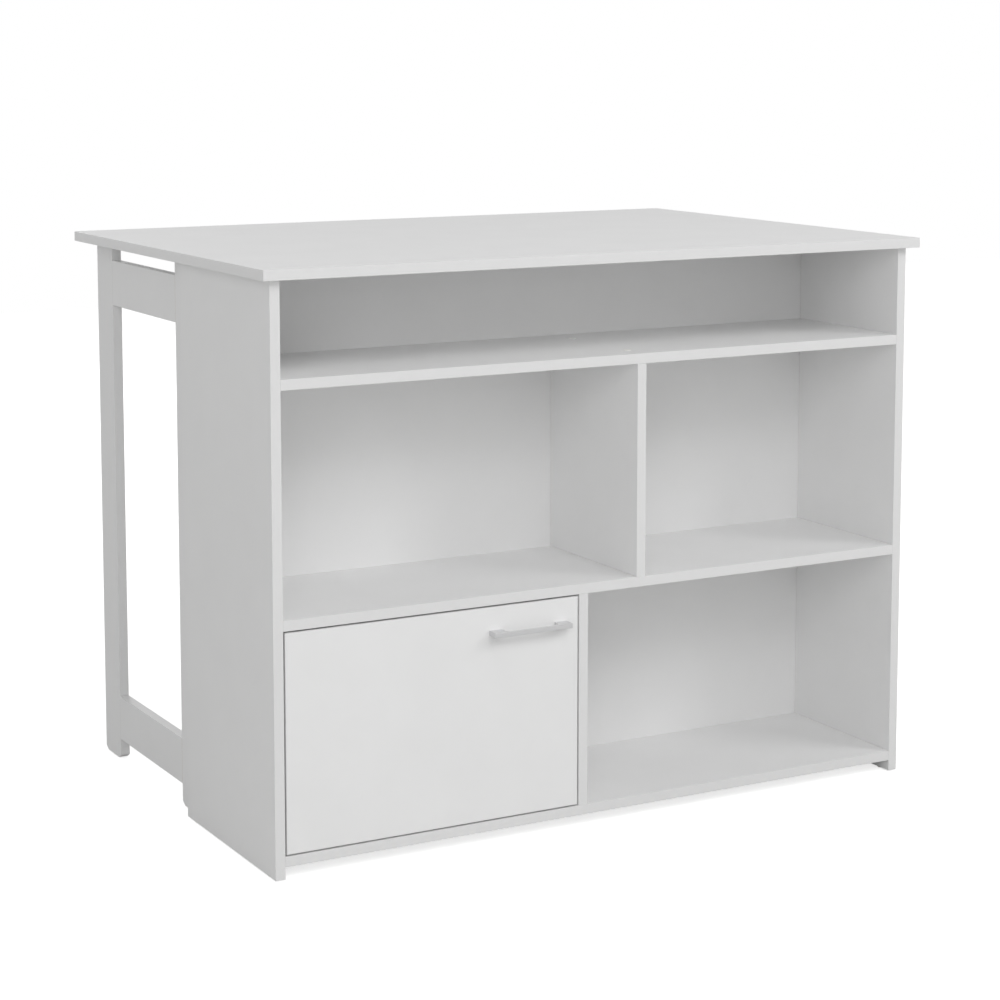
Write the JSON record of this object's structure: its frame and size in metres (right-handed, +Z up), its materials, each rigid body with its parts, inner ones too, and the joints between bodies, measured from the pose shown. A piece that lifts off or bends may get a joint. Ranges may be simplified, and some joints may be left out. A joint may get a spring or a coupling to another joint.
{
  "type": "kitchen island unit",
  "caption": "Kitchen island unit in white faced board: open shelf case with one cupboard door, deep worktop over a seating side carried by two leg frames",
  "frame": {"origin": "bottom centre of the whole unit's box, on the floor, midway between the handle's face and the worktop's rear edge", "axes": "+X to the right seen from the shelf side, +Y from the shelf side towards the seating side, +Z up"},
  "size_m": [1.168, 0.804, 0.9],
  "materials": {
    "white_board": "white melamine faced chipboard, satin, edges banded in the same white",
    "satin_handle": "satin nickel plated strap handle",
    "nickel_steel": "nickel plated pressed steel and plated screws",
    "zinc": "die cast zinc, dull",
    "beech": "turned beech dowel, unfinished",
    "white_plastic": "white moulded plastic",
    "pale_plastic": "pale nylon glide"
  },
  "bodies": {
    "root": {"worktop": "white_board", "side_left": "white_board", "side_right": "white_board", "bottom_shelf": "white_board", "middle_shelf": "white_board", "upper_shelf": "white_board", "upper_divider": "white_board", "lower_divider": "white_board", "back_board": "white_board", "left_front_leg": "white_board", "left_rear_leg": "white_board", "left_upper_rail": "white_board", "left_lower_rail": "white_board", "right_front_leg": "white_board", "right_rear_leg": "white_board", "right_upper_rail": "white_board", "right_lower_rail": "white_board", "upper_hinge_arm": "nickel_steel", "lower_hinge_arm": "nickel_steel", "upper_hinge_plate": "nickel_steel", "lower_hinge_plate": "nickel_steel", "hinge_plate_screws": "nickel_steel", "hinge_arm_screws": "nickel_steel", "door_stop": "white_plastic", "door_stop_screw": "nickel_steel", "shelf_cams": "zinc", "cam_bolts": "zinc", "shelf_dowels": "beech", "divider_dowels": "beech", "worktop_dowels": "beech", "frame_dowels": "beech", "divider_screws": "nickel_steel", "screw_caps": "white_plastic", "back_screws": "nickel_steel", "frame_screws": "nickel_steel", "worktop_brackets": "nickel_steel", "bracket_screws": "nickel_steel", "glides": "pale_plastic"},
    "door": {"door": "white_board", "handle": "satin_handle", "handle_screws": "nickel_steel", "upper_hinge_cup": "nickel_steel", "lower_hinge_cup": "nickel_steel", "hinge_pins": "nickel_steel", "hinge_cup_screws": "nickel_steel"}
  },
  "joints": [
    {"name": "door_swing", "type": "hinge", "parent": "root", "child": "door", "pos_m": [-0.5335, -0.374, 0.204], "axis": [0, 0, 1], "range_deg": [-100, 0]}
  ]
}
